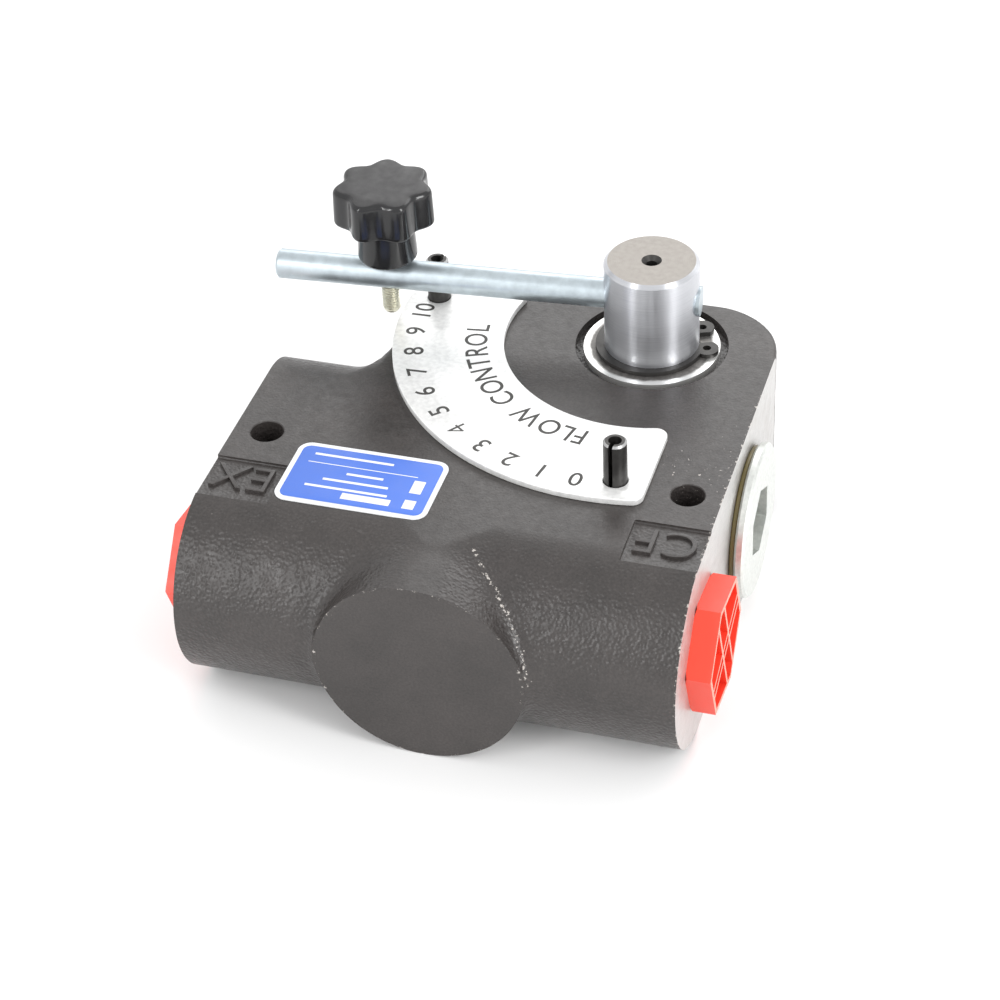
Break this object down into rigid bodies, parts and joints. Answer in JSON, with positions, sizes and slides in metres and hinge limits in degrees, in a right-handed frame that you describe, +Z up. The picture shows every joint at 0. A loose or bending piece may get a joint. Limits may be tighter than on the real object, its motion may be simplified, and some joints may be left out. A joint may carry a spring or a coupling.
{
  "type": "flow control valve",
  "caption": "Adjustable pressure-compensated hydraulic flow control valve: a lever turns the metering spindle over a 0 to 10 dial, and a star knob clamps it.",
  "frame": {"origin": "midway between the two mounting holes, on the base face", "axes": "+Z up out of the base along the spindle, +Y towards the back and the spindle, X along the EX and CF ports"},
  "size_m": [0.1402, 0.1385, 0.0966],
  "materials": {
    "cast_body": "satin",
    "turned_steel": "satin",
    "zinc_rod": "satin",
    "zinc_stud": "satin",
    "ring_steel": "satin",
    "washer_steel": "gloss",
    "dial_metal": "satin",
    "pin_steel": "satin",
    "plug_steel": "gloss",
    "spool_steel": "satin",
    "spring_steel": "satin",
    "seal_rubber": "matte",
    "seal_brown": "satin",
    "knob_plastic": "gloss",
    "cap_plastic": "satin",
    "label_foil": "gloss"
  },
  "bodies": {
    "valve": {"valve_body": "cast_body", "thrust_washer_upper": "washer_steel", "thrust_washer_lower": "washer_steel", "dial_plate": "dial_metal", "stop_pin_zero": "pin_steel", "stop_pin_ten": "pin_steel", "label_plate": "label_foil", "spring_shim": "spring_steel", "compensator_plug": "plug_steel", "compensator_plug_seal": "seal_brown"},
    "spindle": {"spindle": "turned_steel", "spindle_oring_upper": "seal_rubber", "spindle_oring_lower": "seal_rubber", "retaining_ring_upper": "ring_steel", "retaining_ring_lower": "ring_steel", "lever_rod": "zinc_rod"},
    "clamp_stud": {"clamp_stud": "zinc_stud"},
    "clamp_knob": {"clamp_knob": "knob_plastic"},
    "compensator": {"compensator_spool": "spool_steel", "compensator_spring": "spring_steel"},
    "ex_cap": {"ex_port_cap": "cap_plastic"},
    "cf_cap": {"cf_port_cap": "cap_plastic"},
    "inlet_cap": {"inlet_port_cap": "cap_plastic"}
  },
  "joints": [
    {"name": "lever_turn", "type": "hinge", "parent": "valve", "child": "spindle", "pos_m": [0.031, 0.06, 0], "axis": [0, 0, 1], "range_deg": [-3, 84.6]},
    {"name": "stud_screw", "type": "slide", "parent": "spindle", "child": "clamp_stud", "axis": [0, 0, 1], "range_m": [-0.00142, 0.0024]},
    {"name": "knob_turn", "type": "hinge", "parent": "clamp_stud", "child": "clamp_knob", "pos_m": [-0.03931, 0.05489, 0.08], "axis": [0, 0, 1], "range_deg": [-641, 1081]},
    {"name": "compensator_slide", "type": "slide", "parent": "valve", "child": "compensator", "axis": [1, 0, 0], "range_m": [0, 0.008], "stiffness_N_per_m": 4000, "springref_m": -0.005, "deforming": ["compensator_spring"]},
    {"name": "ex_cap_pull", "type": "slide", "parent": "valve", "child": "ex_cap", "axis": [-1, 0, 0], "range_m": [0, 0.02]},
    {"name": "cf_cap_pull", "type": "slide", "parent": "valve", "child": "cf_cap", "axis": [1, 0, 0], "range_m": [0, 0.02]},
    {"name": "inlet_cap_pull", "type": "slide", "parent": "valve", "child": "inlet_cap", "axis": [0, 1, 0], "range_m": [0, 0.02]}
  ],
  "couplings": [
    {"joint": "knob_turn", "follows": "stud_screw", "rad_per_m": 7854}
  ]
}
